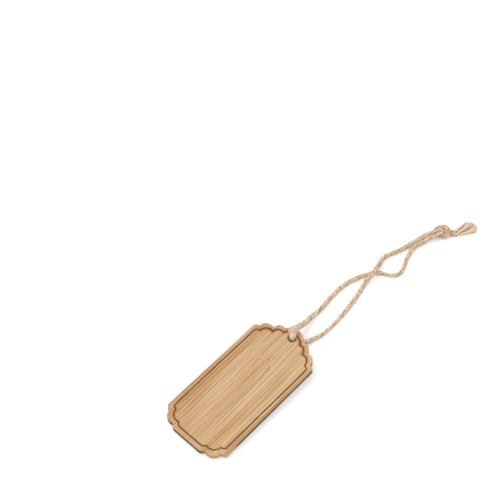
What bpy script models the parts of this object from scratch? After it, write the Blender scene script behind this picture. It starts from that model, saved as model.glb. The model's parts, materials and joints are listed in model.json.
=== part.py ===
"""Bamboo plant tag with scalloped ends, lying on a table with its knotted loop of jute twine.

Metres, +Z up. The table is z = 0, and +X runs along the board towards its hole.
"""

import math

import bmesh
import bpy
from mathutils import Matrix, Vector

# Board
BOARD_LENGTH = 0.0726
BOARD_WIDTH = 0.0350
BOARD_THICKNESS = 0.0025

# Scallops from each side corner to the end: run along the board, drop across it, arc swept
HOLE_END_SCALLOPS = (
    (0.00130, 0.00230, math.radians(55)),
    (0.00365, 0.00515, math.radians(112)),
    (0.00320, 0.00440, math.radians(104)),
)
FAR_END_SCALLOPS = (
    (0.00135, 0.00230, math.radians(55)),
    (0.00365, 0.00570, math.radians(108)),
    (0.00160, 0.00240, math.radians(62)),
)
CROWN_RISE = 0.0030
ARC_STEP = math.radians(9)

# Hole for the twine
HOLE_DIAMETER = 0.0040
HOLE_SETBACK = 0.0050
HOLE_SIDES = 48

# Burnt line, inside the outline
LINE_END_INSET = 0.0024
LINE_SIDE_INSET = 0.00224
LINE_WIDTH = 0.0006
LINE_DEPTH = 0.0003

# Twine
TWINE_DIAMETER = 0.0020
TWINE_SPACING = 2 * TWINE_DIAMETER
BEND_SPACING = 0.6 * TWINE_DIAMETER
GAP = 0.0003
TABLE_CLEARANCE = 0.00005
LYING = TWINE_DIAMETER / 2 + TABLE_CLEARANCE
CROSSING = LYING + TWINE_DIAMETER + 2 * GAP

# Overhand knot of both strands, lying flat: its middle from the hole's centre, and its heading
KNOT_PLACE = (0.0960, -0.0115)
KNOT_HEADING = math.radians(-30)
KNOT_STRAND_DIAMETER = 0.0016
KNOT_SPACING = 0.4 * KNOT_STRAND_DIAMETER
KNOT_CORE = (0.0021, 0.0021, 0.0011)
KNOT_CORE_PLACE = (0.0003, -0.0001, 0.0022)
KNOT_CORE_SIDES = 24
KNOT_GRAIN = 0.00030

# Half the spacing of the two strands where they enter and leave the knot, and in its turns
MOUTH_HALF = (TWINE_DIAMETER + GAP) / 2
TURN_HALF = 0.00065
CLOSING_HALF = (MOUTH_HALF + TURN_HALF) / 2

# The pair's way through the knot: along, across and height in the knot's frame,
# half the strands' spacing, and how far their pair is turned up on edge
KNOT_ROUTE = (
    (-0.0074, -0.0003, 0.00150, MOUTH_HALF, math.radians(0)),
    (-0.0054, -0.0003, 0.00200, MOUTH_HALF, math.radians(0)),
    (-0.0038, -0.0004, 0.00280, MOUTH_HALF, math.radians(0)),
    (-0.0022, -0.0004, 0.00340, CLOSING_HALF, math.radians(5)),
    (-0.0006, -0.0005, 0.00320, CLOSING_HALF, math.radians(15)),
    (0.0009, -0.0008, 0.00230, TURN_HALF, math.radians(30)),
    (0.0022, -0.0010, 0.00170, TURN_HALF, math.radians(35)),
    (0.0031, -0.0006, 0.00200, TURN_HALF, math.radians(40)),
    (0.0033, 0.0003, 0.00270, TURN_HALF, math.radians(45)),
    (0.0027, 0.0012, 0.00325, TURN_HALF, math.radians(50)),
    (0.0015, 0.0020, 0.00340, TURN_HALF, math.radians(50)),
    (0.0002, 0.0024, 0.00310, TURN_HALF, math.radians(45)),
    (-0.0010, 0.0023, 0.00255, TURN_HALF, math.radians(40)),
    (-0.0017, 0.0014, 0.00180, TURN_HALF, math.radians(30)),
    (-0.0016, 0.0000, 0.00130, TURN_HALF, math.radians(15)),
    (-0.0007, -0.0012, 0.00125, TURN_HALF, math.radians(20)),
    (0.0005, -0.0019, 0.00145, TURN_HALF, math.radians(30)),
    (0.0017, -0.0020, 0.00210, TURN_HALF, math.radians(40)),
    (0.0025, -0.0015, 0.00310, TURN_HALF, math.radians(45)),
    (0.0026, -0.0006, 0.00335, TURN_HALF, math.radians(40)),
    (0.0029, 0.0000, 0.00240, TURN_HALF, math.radians(45)),
    (0.0037, -0.0007, 0.00150, TURN_HALF, math.radians(50)),
    (0.0048, -0.0016, 0.00135, TURN_HALF, math.radians(40)),
    (0.0062, -0.0019, 0.00130, TURN_HALF, math.radians(30)),
    (0.0076, -0.0018, 0.00125, CLOSING_HALF, math.radians(15)),
    (0.0090, -0.0014, 0.00115, MOUTH_HALF, math.radians(0)),
)

# The two tails past the knot, in the knot's frame
UPPER_TAIL = (
    (0.0114, 0.0006, LYING),
    (0.0140, 0.0013, LYING),
    (0.0168, 0.0019, LYING),
)
LOWER_TAIL = (
    (0.0114, -0.0027, LYING),
    (0.0140, -0.0026, LYING),
    (0.0170, -0.0020, LYING),
)

CUT_MARGIN = 0.001
WELD_DISTANCE = 1e-6
SHARP_ANGLE = math.radians(30)

# Route points of the twine: along and across the table from the hole's centre, and height
UPPER_LEG = (
    (0.0858, -0.0085, 0.00120),
    (0.0830, -0.0076, LYING),
    (0.0806, -0.0071, LYING),
    (0.0770, -0.0077, LYING),
    (0.0722, -0.0090, LYING),
    (0.0687, -0.0105, LYING),
    (0.0662, -0.0113, LYING),
    (0.0642, -0.0116, LYING),
    (0.0622, -0.0110, LYING),
    (0.0605, -0.0098, LYING),
    (0.0592, -0.0078, LYING),
    (0.0582, -0.0060, LYING),
    (0.0570, -0.0040, LYING),
    (0.0548, -0.0019, LYING),
    (0.0512, -0.0001, LYING),
    (0.0477, 0.0013, LYING),
    (0.0437, 0.0025, LYING),
    (0.0387, 0.0032, LYING),
    (0.0337, 0.0032, LYING),
    (0.0287, 0.0029, LYING),
    (0.0247, 0.0024, LYING),
    (0.0212, 0.0022, LYING),
    (0.0180, 0.0024, 0.00125),
    (0.0140, 0.0022, 0.00220),
)
SWING_UPPER = (0.0103, 0.0017, 0.00360)
BIGHT = (
    (0.0080, 0.00170, 0.00475),
    (0.0062, 0.00155, 0.00575),
    (0.0044, 0.00135, 0.00640),
    (0.0026, 0.00095, 0.00655),
    (0.0011, 0.00040, 0.00605),
    (0.00035, 0.00010, 0.00490),
    (0.00010, -0.00010, 0.00360),
    (0.00033, -0.00033, 0.00250),
    (0.00072, -0.00072, 0.00148),
    (0.0014, -0.0014, 0.00108),
    (0.0026, -0.0028, LYING),
    (0.0039, -0.0041, LYING),
    (0.0053, -0.0049, LYING),
    (0.0074, -0.0056, LYING),
)
SWING_LOWER = (0.0104, -0.0065, LYING)
LOWER_LEG = (
    (0.0135, -0.0072, LYING),
    (0.0165, -0.0074, LYING),
    (0.0207, -0.0074, LYING),
    (0.0247, -0.0072, LYING),
    (0.0287, -0.0068, LYING),
    (0.0337, -0.0062, LYING),
    (0.0387, -0.0054, LYING),
    (0.0437, -0.0044, LYING),
    (0.0477, -0.0034, 0.00115),
    (0.0517, -0.0031, 0.00235),
    (0.0559, -0.0031, CROSSING),
    (0.0598, -0.0019, 0.00235),
    (0.0638, -0.0006, 0.00115),
    (0.0668, -0.0005, LYING),
    (0.0697, -0.0015, LYING),
    (0.0727, -0.0027, LYING),
    (0.0762, -0.0037, LYING),
    (0.0790, -0.0044, 0.00120),
    (0.0822, -0.0051, 0.00125),
    (0.0860, -0.0060, 0.00130),
)

# Colours: red, green, blue, roughness
BAMBOO = (0.62, 0.40, 0.20, 0.6)
JUTE = (0.48, 0.36, 0.24, 0.9)


def clear_scene():
    """Remove whatever the scene holds."""
    for obj in list(bpy.data.objects):
        bpy.data.objects.remove(obj, do_unlink=True)


def new_collection(name):
    """Make a collection in the scene."""
    collection = bpy.data.collections.new(name)
    bpy.context.scene.collection.children.link(collection)
    return collection


def new_empty(collection, name, matrix, parent=None):
    """Add an empty at a world matrix, as a frame for other objects."""
    empty = bpy.data.objects.new(name, None)
    empty.empty_display_size = HOLE_DIAMETER
    collection.objects.link(empty)
    place(empty, matrix, parent)
    return empty


def place(obj, matrix, parent):
    """Stand an object at a world matrix, under a parent that keeps its own."""
    obj.parent = parent
    bpy.context.view_layer.update()
    if parent:
        obj.matrix_parent_inverse = parent.matrix_world.inverted()
    obj.matrix_world = matrix
    bpy.context.view_layer.update()


def new_material(name, look):
    """Make a plain material of one colour and roughness."""
    material = bpy.data.materials.new(name)
    material.use_nodes = True
    shader = material.node_tree.nodes["Principled BSDF"]
    red, green, blue, roughness = look
    shader.inputs["Base Color"].default_value = (red, green, blue, 1)
    shader.inputs["Roughness"].default_value = roughness
    shader.inputs["Metallic"].default_value = 0
    return material


def as_mesh(collection, curve):
    """Turn a curve object into a mesh object with welded caps."""
    depsgraph = bpy.context.evaluated_depsgraph_get()
    mesh = bpy.data.meshes.new_from_object(curve.evaluated_get(depsgraph))
    weld(mesh)
    shade(mesh)
    obj = bpy.data.objects.new(curve.name, mesh)
    obj.matrix_world = curve.matrix_world
    name = curve.name
    bpy.data.objects.remove(curve, do_unlink=True)
    collection.objects.link(obj)
    obj.name = name
    return obj


def shade(mesh):
    """Shade round faces smooth and leave real edges sharp."""
    mesh.shade_smooth()
    mesh.set_sharp_from_angle(angle=SHARP_ANGLE)


def weld(mesh):
    """Join the points of a mesh that lie on each other."""
    shape = bmesh.new()
    shape.from_mesh(mesh)
    bmesh.ops.remove_doubles(shape, verts=shape.verts, dist=WELD_DISTANCE)
    bmesh.ops.recalc_face_normals(shape, faces=shape.faces)
    shape.to_mesh(mesh)
    shape.free()


def arc(start, end, sweep):
    """Points after start to end on an arc that bulges to the right of the way it runs."""
    chord = end - start
    radius = chord.length / (2 * math.sin(sweep / 2))
    left = Vector((-chord.y, chord.x)).normalized()
    centre = (start + end) / 2 + left * radius * math.cos(sweep / 2)
    first = start - centre
    steps = math.ceil(sweep / ARC_STEP)
    turns = (Matrix.Rotation(sweep * i / steps, 2) for i in range(1, steps + 1))
    return [centre + turn @ first for turn in turns]


def board_outline():
    """The board's outline, counter-clockwise, with its far end at x = 0."""
    shoulder = BOARD_WIDTH / 2 - sum(drop for _, drop, _ in HOLE_END_SCALLOPS)
    cusp = Vector((BOARD_LENGTH - CROWN_RISE, shoulder))
    points = [Vector((cusp.x, -cusp.y))]
    points += arc(points[0], cusp, 4 * math.atan(CROWN_RISE / shoulder))
    for run, drop, sweep in reversed(HOLE_END_SCALLOPS):
        points += arc(points[-1], points[-1] + Vector((-run, drop)), sweep)
    corner = Vector((sum(run for run, _, _ in FAR_END_SCALLOPS), BOARD_WIDTH / 2))
    points.append(corner)
    for run, drop, sweep in FAR_END_SCALLOPS:
        points += arc(points[-1], points[-1] + Vector((-run, -drop)), sweep)
    upper = [p for p in points if p.y > 0 and p.x < cusp.x]
    return points + [Vector((p.x, -p.y)) for p in reversed(upper)]


def burnt_outline():
    """The middle of the burnt line: the outline drawn in towards the board's centre."""
    along = 1 - 2 * LINE_END_INSET / BOARD_LENGTH
    across = 1 - 2 * LINE_SIDE_INSET / BOARD_WIDTH
    middle = BOARD_LENGTH / 2
    return [Vector((middle + (p.x - middle) * along, p.y * across)) for p in board_outline()]


def offset(points, distance):
    """A closed outline moved outwards by a distance, with mitred corners."""
    moved = []
    for i, point in enumerate(points):
        before = (point - points[i - 1]).normalized()
        after = (points[(i + 1) % len(points)] - point).normalized()
        normal = Vector((before.y + after.y, -before.x - after.x)).normalized()
        mitre = Vector((after.y, -after.x)).dot(normal)
        moved.append(point + normal * distance / mitre)
    return moved


def flat_plate(collection, name, loops, bottom, thickness):
    """A flat mesh plate between closed outlines, from bottom upwards."""
    shape = bpy.data.curves.new(name, "CURVE")
    shape.dimensions = "2D"
    shape.fill_mode = "BOTH"
    shape.extrude = thickness / 2
    for loop in loops:
        spline = shape.splines.new("POLY")
        spline.points.add(len(loop) - 1)
        for control, point in zip(spline.points, loop):
            control.co = (point.x, point.y, 0, 1)
        spline.use_cyclic_u = True
    curve = bpy.data.objects.new(name, shape)
    collection.objects.link(curve)
    curve.location.z = bottom + thickness / 2
    bpy.context.view_layer.update()
    return as_mesh(collection, curve)


def make_cutter(obj):
    """Keep a cutting body out of the model."""
    obj.hide_render = True
    obj.display_type = "WIRE"
    return obj


def cut(obj, cutter):
    """Take a cutter's shape out of an object."""
    boolean = obj.modifiers.new(cutter.name, "BOOLEAN")
    boolean.operation = "DIFFERENCE"
    boolean.solver = "EXACT"
    boolean.object = cutter


def hole_cutter(collection):
    """The round bar that the hole is cut with."""
    shape = bmesh.new()
    bmesh.ops.create_cone(
        shape,
        cap_ends=True,
        segments=HOLE_SIDES,
        radius1=HOLE_DIAMETER / 2,
        radius2=HOLE_DIAMETER / 2,
        depth=BOARD_THICKNESS + 2 * CUT_MARGIN,
        matrix=Matrix.Translation((BOARD_LENGTH - HOLE_SETBACK, 0, BOARD_THICKNESS / 2)),
    )
    mesh = bpy.data.meshes.new("hole_cutter")
    shape.to_mesh(mesh)
    shape.free()
    shade(mesh)
    obj = bpy.data.objects.new("hole_cutter", mesh)
    collection.objects.link(obj)
    return make_cutter(obj)


def line_cutter(collection):
    """The closed ribbon that the burnt line is cut with."""
    middle = burnt_outline()
    loops = (offset(middle, LINE_WIDTH / 2), offset(middle, -LINE_WIDTH / 2))
    floor = BOARD_THICKNESS - LINE_DEPTH
    ribbon = flat_plate(collection, "line_cutter", loops, floor, LINE_DEPTH + CUT_MARGIN)
    return make_cutter(ribbon)


def board_matrix():
    """The board's resting place: far end on the table, hole end propped on the twine."""
    prop = TABLE_CLEARANCE + TWINE_DIAMETER + GAP
    tilt = math.asin(prop / (BOARD_LENGTH - HOLE_SETBACK))
    middle = (BOARD_LENGTH * math.cos(tilt) - BOARD_THICKNESS * math.sin(tilt)) / 2
    return Matrix.Translation((-middle, 0, 0)) @ Matrix.Rotation(-tilt, 4, "Y")


def hole_centre():
    """The middle of the hole, halfway through the board."""
    return board_matrix() @ Vector((BOARD_LENGTH - HOLE_SETBACK, 0, BOARD_THICKNESS / 2))


def make_board(collection, cutters, rest):
    """The bamboo board with its hole and burnt line."""
    board = flat_plate(collection, "tag_board", [board_outline()], 0, BOARD_THICKNESS)
    board.data.materials.append(new_material("bamboo", BAMBOO))
    tools = (hole_cutter(cutters), line_cutter(cutters))
    for obj in (board,) + tools:
        place(obj, board_matrix() @ obj.matrix_world, rest)
    for tool in tools:
        cut(board, tool)


def route_points(points):
    """Route points moved from the hole's centre to their place on the table."""
    start = hole_centre().x
    return [Vector((start + along, across, height)) for along, across, height in points]


def smooth(points, first, last, steps=24):
    """Dense points on a smooth curve through the points, between two of their indices."""
    clock = [0.0]
    for a, b in zip(points, points[1:]):
        clock.append(clock[-1] + (b - a).length)
    slopes = []
    for i in range(len(points)):
        low = max(i - 1, 0)
        high = min(i + 1, len(points) - 1)
        slopes.append((points[high] - points[low]) / (clock[high] - clock[low]))
    dense = [points[first]]
    for i in range(first, last):
        span = clock[i + 1] - clock[i]
        for k in range(1, steps + 1):
            t = k / steps
            rise = t * t * (3 - 2 * t)
            leave = t * (1 - t) ** 2 * span
            arrive = t * t * (t - 1) * span
            blend = points[i] * (1 - rise) + points[i + 1] * rise
            dense.append(blend + slopes[i] * leave + slopes[i + 1] * arrive)
    return dense


def spaced(points, spacing, trim_start, trim_end):
    """Points about a spacing apart along a dense line, trimmed at both ends."""
    clock = [0.0]
    for a, b in zip(points, points[1:]):
        clock.append(clock[-1] + (b - a).length)
    start = trim_start
    length = clock[-1] - trim_end - start
    count = max(2, round(length / spacing))
    picked = []
    seek = 0
    for i in range(count + 1):
        target = start + length * i / count
        while seek < len(clock) - 2 and clock[seek + 1] < target:
            seek += 1
        share = (target - clock[seek]) / (clock[seek + 1] - clock[seek])
        picked.append(points[seek].lerp(points[seek + 1], share))
    return picked


def tube_curve(collection, name, lines, diameter):
    """A curve object with a round tube along each line of points."""
    shape = bpy.data.curves.new(name, "CURVE")
    shape.dimensions = "3D"
    shape.bevel_depth = diameter / 2
    shape.bevel_resolution = 2
    shape.use_fill_caps = True
    for line in lines:
        spline = shape.splines.new("POLY")
        spline.points.add(len(line) - 1)
        for control, point in zip(spline.points, line):
            control.co = (*point, 1)
        spline.use_smooth = True
    curve = bpy.data.objects.new(name, shape)
    collection.objects.link(curve)
    return curve


def make_twine(collection, name, line, parent):
    """One stretch of twine along a line of points."""
    twine = tube_curve(collection, name, [line], TWINE_DIAMETER)
    twine.data.materials.append(new_material(name, JUTE))
    place(twine, Matrix.Identity(4), parent)


def knot_matrix():
    """The knot's frame on the table: its own X from the loop to the tails."""
    along, across = KNOT_PLACE
    place_in_plan = Matrix.Translation((hole_centre().x + along, across, 0))
    return place_in_plan @ Matrix.Rotation(KNOT_HEADING, 4, "Z")


def knot_points(points):
    """Points of the knot's frame moved to their place on the table."""
    return [knot_matrix() @ Vector(point) for point in points]


def knot_strand(side):
    """One strand's way through the knot, on one side of the pair's middle."""
    middle = [Vector(row[:3]) for row in KNOT_ROUTE]
    line = []
    for i, (*_, half, edge) in enumerate(KNOT_ROUTE):
        way = middle[min(i + 1, len(middle) - 1)] - middle[max(i - 1, 0)]
        left = Vector((-way.y, way.x, 0)).normalized()
        shift = left * math.cos(edge) + Vector((0, 0, math.sin(edge)))
        line.append(middle[i] + shift * side * half)
    return knot_points(line)


def make_knot(collection, parent):
    """The drawn-up knot: both strands' turns and the core that they close on, joined to one body."""
    lines = []
    for side in (1, -1):
        strand = knot_strand(side)
        lines.append(spaced(smooth(strand, 0, len(strand) - 1), KNOT_SPACING, 0, 0))
    knot = as_mesh(collection, tube_curve(collection, "twine_knot", lines, KNOT_STRAND_DIAMETER))
    shape = bmesh.new()
    shape.from_mesh(knot.data)
    core = Matrix.Translation(KNOT_CORE_PLACE) @ Matrix.Diagonal((*KNOT_CORE, 1))
    bmesh.ops.create_uvsphere(
        shape,
        u_segments=KNOT_CORE_SIDES,
        v_segments=KNOT_CORE_SIDES // 2,
        radius=1,
        matrix=knot_matrix() @ core,
    )
    shape.to_mesh(knot.data)
    shape.free()
    knot.data.materials.append(new_material("twine_knot", JUTE))
    joined = knot.modifiers.new("joined", "REMESH")
    joined.mode = "VOXEL"
    joined.voxel_size = KNOT_GRAIN
    joined.use_smooth_shade = True
    place(knot, Matrix.Identity(4), parent)


def swing_matrix():
    """The frame that the loop folds about: through both places where it leaves the board."""
    upper, lower = route_points((SWING_UPPER, SWING_LOWER))
    across = (upper - lower).normalized()
    along = across.cross(Vector((0, 0, 1))).normalized()
    turn = Matrix((along, across, along.cross(across))).transposed().to_4x4()
    return Matrix.Translation((upper + lower) / 2) @ turn


def main():
    clear_scene()
    parts = new_collection("wooden_plant_tag")
    cutters = new_collection("cutters")
    rest = new_empty(parts, "tag_rest", board_matrix())
    swivel_place = Matrix.Translation(hole_centre()) @ board_matrix().to_3x3().to_4x4()
    swivel = new_empty(parts, "loop_swivel_axis", swivel_place, rest)
    swing = new_empty(parts, "loop_swing_axis", swing_matrix(), swivel)
    make_board(parts, cutters, rest)

    upper_mouth = knot_strand(-1)[1::-1]
    lower_mouth = knot_strand(1)[:2]
    legs = UPPER_LEG + (SWING_UPPER,) + BIGHT + (SWING_LOWER,) + LOWER_LEG
    route = upper_mouth + route_points(legs) + lower_mouth
    first_swing = len(upper_mouth) + len(UPPER_LEG)
    last_swing = first_swing + len(BIGHT) + 1
    trim = GAP / 2
    upper = smooth(route, 1, first_swing)
    bight = smooth(route, first_swing, last_swing)
    lower = smooth(route, last_swing, len(route) - 2)
    make_twine(parts, "twine_leg_upper", spaced(upper, TWINE_SPACING, GAP, trim), swing)
    make_twine(parts, "twine_bight", spaced(bight, BEND_SPACING, trim, trim), swivel)
    make_twine(parts, "twine_leg_lower", spaced(lower, TWINE_SPACING, trim, GAP), swing)
    make_knot(parts, swing)
    tails = (("twine_tail_upper", 1, UPPER_TAIL), ("twine_tail_lower", -1, LOWER_TAIL))
    for name, side, points in tails:
        tail = knot_strand(side)[-2:] + knot_points(points)
        tail = smooth(tail, 1, len(tail) - 1)
        make_twine(parts, name, spaced(tail, TWINE_SPACING, GAP, 0), swing)


main()
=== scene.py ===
"""Looks of the bamboo plant tag: the burnt board, its loop of jute twine, and the studio.

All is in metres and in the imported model's frame: the table is z = 0, and +X runs along the board
to its hole.
"""

import json
import math
import random

import bmesh
import bpy
import numpy as np
from mathutils import Matrix, Vector, noise
from mathutils.geometry import delaunay_2d_cdt
from mathutils.kdtree import KDTree


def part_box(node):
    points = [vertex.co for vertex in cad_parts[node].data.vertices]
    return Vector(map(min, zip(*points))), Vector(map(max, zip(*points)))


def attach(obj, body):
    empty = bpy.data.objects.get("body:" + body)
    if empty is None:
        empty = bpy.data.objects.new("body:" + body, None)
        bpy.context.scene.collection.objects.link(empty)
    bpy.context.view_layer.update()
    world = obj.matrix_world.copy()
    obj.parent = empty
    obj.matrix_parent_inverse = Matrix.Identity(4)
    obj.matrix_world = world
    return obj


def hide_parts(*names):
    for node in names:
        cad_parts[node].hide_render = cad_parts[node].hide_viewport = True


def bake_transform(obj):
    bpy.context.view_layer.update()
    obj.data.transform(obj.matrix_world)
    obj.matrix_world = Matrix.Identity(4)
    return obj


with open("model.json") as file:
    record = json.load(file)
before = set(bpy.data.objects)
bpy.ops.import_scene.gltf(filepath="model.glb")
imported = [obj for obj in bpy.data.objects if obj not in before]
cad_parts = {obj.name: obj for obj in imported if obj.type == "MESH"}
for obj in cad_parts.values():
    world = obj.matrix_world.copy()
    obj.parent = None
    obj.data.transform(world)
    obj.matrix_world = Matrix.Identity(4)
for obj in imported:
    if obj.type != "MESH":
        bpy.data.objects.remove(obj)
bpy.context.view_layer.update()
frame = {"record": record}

MM = 0.001

# Camera, read off the photograph's perspective
CAMERA_PLACE = (-0.19781, -0.17128, 0.46119)
CAMERA_HEADING = math.radians(-49.14)
CAMERA_PITCH = math.radians(36.14)
CAMERA_ROLL = math.radians(2.235)
CAMERA_LENS = 86.32
CAMERA_SENSOR = 36.0

# Studio
SKY_STRENGTH = 0.74
LAMP_PLACE = (0.00, 0.35, 0.60)
LAMP_SIZE = 0.45
LAMP_POWER = 1.45
FLOOR_SIZE = 12.0
FLOOR_COLOUR = (0.90, 0.90, 0.90)
FLOOR_GLOW = 0.32

# Board
BOARD_LENGTH = 0.0726
BOARD_WIDTH = 0.0350
BOARD_THICKNESS = 0.0025
HOLE_DIAMETER = 0.0040
HOLE_SETBACK = 0.0050

# Scallops from each side corner to the end: run along the board, drop across it, arc swept
HOLE_END_SCALLOPS = (
    (0.00130, 0.00230, math.radians(55)),
    (0.00365, 0.00515, math.radians(112)),
    (0.00320, 0.00440, math.radians(104)),
)
FAR_END_SCALLOPS = (
    (0.00135, 0.00230, math.radians(55)),
    (0.00365, 0.00570, math.radians(108)),
    (0.00160, 0.00240, math.radians(62)),
)
CROWN_RISE = 0.0030
ARC_STEP = math.radians(3)

# Burnt line, inside the outline
LINE_END_INSET = 0.0024
LINE_SIDE_INSET = 0.00224
LINE_WIDTH = 0.0006
LINE_DEPTH = 0.0003

# Mesh of the board: spacing of points, and the profile of its softened edges and of its line
EDGE_SPACING = 0.00035
FACE_SPACING = 0.00055
BACK_SPACING = 0.0011
RING_CLEARANCE = 0.6
EDGE_SOFTNESS = 0.00013
EDGE_RINGS = (0.0, 0.3, 1.0)
LINE_RINGS = (-1.15, -0.85, -0.45, 0.0, 0.45, 0.85, 1.15)
HOLE_SIDES = 72
WALL_LEVELS = 7
SAW_RIPPLE = 0.000025
SAW_WAVE = 0.0004
TRIANGLES_ONLY = 0
MERGE_DISTANCE = 1e-9
WELD_DISTANCE = 1e-6
SHARP_ANGLE = math.radians(35)

# Bamboo: the culm's broad strips, as place across the board in millimetres and tone, dark to pale
STRIP_TONES = (
    (-17.5, 0.46),
    (-12.5, 0.70),
    (-9.5, 0.38),
    (-6.0, 0.62),
    (-1.0, 0.56),
    (5.0, 0.48),
    (10.5, 0.50),
    (13.5, 0.32),
    (17.5, 0.52),
)
WOOD_DARK = (0.50, 0.234, 0.073)
WOOD_PALE = (0.845, 0.597, 0.358)
WOOD_ORANGE = (0.62, 0.29, 0.085)
WOOD_CREAM = (0.92, 0.74, 0.52)
WOOD_DASH = (0.36, 0.18, 0.07)
WOOD_NODE = (0.42, 0.17, 0.045)
WOOD_ROUGHNESS = 0.6
WOOD_SPECULAR = 0.25
WOOD_RELIEF = (0.35, 0.00008)
# The tone's rise per millimetre along the board: darker at the far end, paler towards the hole
PALING = 0.0014

# Noises over the board: stretch along, across and through it, detail and roughness.
# What shows of one: the noise at which a tint starts and is full, and its share at both
NOISE_MIDDLE = 0.5
GRAIN_DRIFT = ((0.035, 0.12, 0.0), 2.0, 0.5)
GRAIN_SWAY = 1.0
STREAKS = ((0.011, 2.2, 0.0), 4.0, 0.62)
STREAK_SHARE = 1.9
FIBRES = ((0.018, 3.0, 0.0), 3.0, 0.6)
FIBRE_SHARE = 3.4
ORANGE = ((0.010, 1.4, 0.0), 4.0, 0.65)
ORANGE_SHOWN = (0.54, 0.70, 0.0, 0.6)
CREAM = ((0.012, 2.6, 0.0), 3.0, 0.6)
CREAM_SHOWN = (0.56, 0.68, 0.0, 0.75)
DASHES = ((0.013, 2.8, 0.0), 3.0, 0.55)
DASHES_SHOWN = (0.57, 0.67, 0.0, 0.65)

# The culm's node: two blunt arches of grain back to back, as their middle along and across the
# board and their reach in millimetres, and the way that they point
NODE_ARCHES = (
    (47.4, 0.6, 3.3, 1.0),
    (54.9, 1.7, 2.7, -1.0),
)
NODE_BLUNTNESS = 6.0
NODE_LINE = 0.38
NODE_RIM = 0.45
NODE_RIM_SHOWN = (1.0, 2.6, 0.0, 0.35)
NODE_FADE = 5.5
NODE_WAVER = ((0.35, 0.55, 0.0), 3.0, 0.6)
NODE_WAVER_REACH = 1.9
NODE_PATCHES = ((0.22, 0.9, 0.0), 2.0, 0.5)
NODE_PATCHES_SHOWN = (0.36, 0.60, 0.15, 0.80)

# Burnt parts, and where smoke has stained the wood: along, across and reach in millimetres, and
# strength. A run gives the distances in millimetres at which a burn starts and is full
SCORCH = (0.50, 0.21, 0.055)
STAIN = (0.40, 0.135, 0.026)
CHAR_LINE = (0.115, 0.028, 0.005)
CHAR_WALL = (0.050, 0.036, 0.028)
WALL_FOOT = (0.40, 0.30, 0.22)
WALL_BARE = (0.62, 0.42, 0.25)
BARE_CORNER = (5.0, -15.5, 1.2)
BARE_RUN = (9.0, 6.0)
BORE_RUN = (3.5, 3.0)
CHAR_WALL_RUN = (0.1, 1.4)
SKIN_RUN = (0.10, 0.02)
CHAR_LINE_RUN = (0.31, 0.12, 0.0, 0.95)
SMOKE = ((0.25, 0.25, 0.25), 2.0, 0.5)
SMOKE_SHOWN = (0.35, 0.65, 0.1, 0.6)
SMOKE_RUN = (1.0, 0.15)
STAIN_RUN = (1.7, 0.2)
SMOKE_STAINS = (
    (62.5, 9.5, 8.5, 0.95),
    (66.0, 3.5, 3.5, 0.95),
    (12.0, -15.9, 9.0, 0.45),
    (13.0, 13.6, 9.0, 0.40),
    (68.0, -5.0, 4.5, 0.80),
    (65.5, -10.5, 5.0, 0.55),
)

# Twine
TWINE_DIAMETER = 0.0020
GAP = 0.0003
TABLE_CLEARANCE = 0.00005
LYING = TWINE_DIAMETER / 2 + TABLE_CLEARANCE
CROSSING = LYING + TWINE_DIAMETER + 2 * GAP
TWINE_PITCH = 0.0135
TWINE_SIDES = 40
TWINE_RING_SPACING = 0.0003
TWINE_FLATNESS = 0.88
CREASE_WIDTH = 0.34
CREASE_DEPTH = 0.20
# Painted shade in the creases between the plies: its width in radians round the twine
CREASE_SHADE_WIDTH = 0.24
RIDGE_DEPTH = 0.016
# Painted shade that follows the fibres' ridges: lighter on their tops, darker in their dips
RIDGE_SHADE = 0.06

# Height at which the twine is clear of the table, and the rise to it, in its height when it lies
CLEAR_HEIGHT = 1.6
CLEAR_RISE = 0.6

# Unevenness of the twine: number of waves, whole turns round it, and pace along it in radians a
# millimetre
TWIST_WAVES = (4, (0, 0), (0.1, 0.5))
TWIST_DRIFT = 0.35
CREASE_WAVES = (3, (0, 0), (0.25, 0.9))
CREASE_STRENGTH = 0.62
CREASE_CHANGE = 0.33
CREASE_LEAST = 0.18
RIDGE_WAVES = (9, (6, 17), (-1.2, 1.2))

# Jute: its colours, its noises round and along the twine, and what shows of each. The crease value
# is
# painted shade from 0 to 1: in the creases between the plies, on the twine in the hole, in the
# knot's middle and between a tail's bundles. Below 0 a loose fibre is painted paler, partly its own
# paler tone and partly painted light against the shade among the fibres, and paler still at the
# tips as painted light
JUTE_PALE = (1.00, 0.79, 0.575)
JUTE_DARK = (0.53, 0.340, 0.195)
JUTE_GREY = (0.72, 0.59, 0.45)
JUTE_BROWN = (0.36, 0.20, 0.10)
# Painted light at a loose fibre's tip
JUTE_TIP = (0.99, 0.86, 0.70)
JUTE_PAINTED_SHADE = (0.26, 0.125, 0.048)
JUTE_FIBRES = ((1.3, 1.3, 0.70), 5.0, 0.68)
JUTE_FIBRES_SHOWN = (0.36, 0.60)
JUTE_PATCHES = ((0.9, 0.9, 0.22), 2.0, 0.5)
JUTE_PATCHES_SHOWN = (0.35, 0.70, 0.0, 0.35)
# Dark dashes along the fibres: partly the jute's own brown fibres, partly painted shade in the gaps
# between them
JUTE_DASHES = ((1.2, 1.2, 0.42), 3.0, 0.55)
JUTE_DASHES_SHOWN = (0.56, 0.68, 0.0, 0.60)
PALE_SHOWN = (0.0, -1.0)
TIP_SHOWN = (-1.0, -2.0)
PAINTED_SHADE_SHOWN = (0.0, 1.0, 0.0, 0.9)
JUTE_ROUGHNESS = 0.9
JUTE_RELIEF = (0.8, 0.00012)

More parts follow.
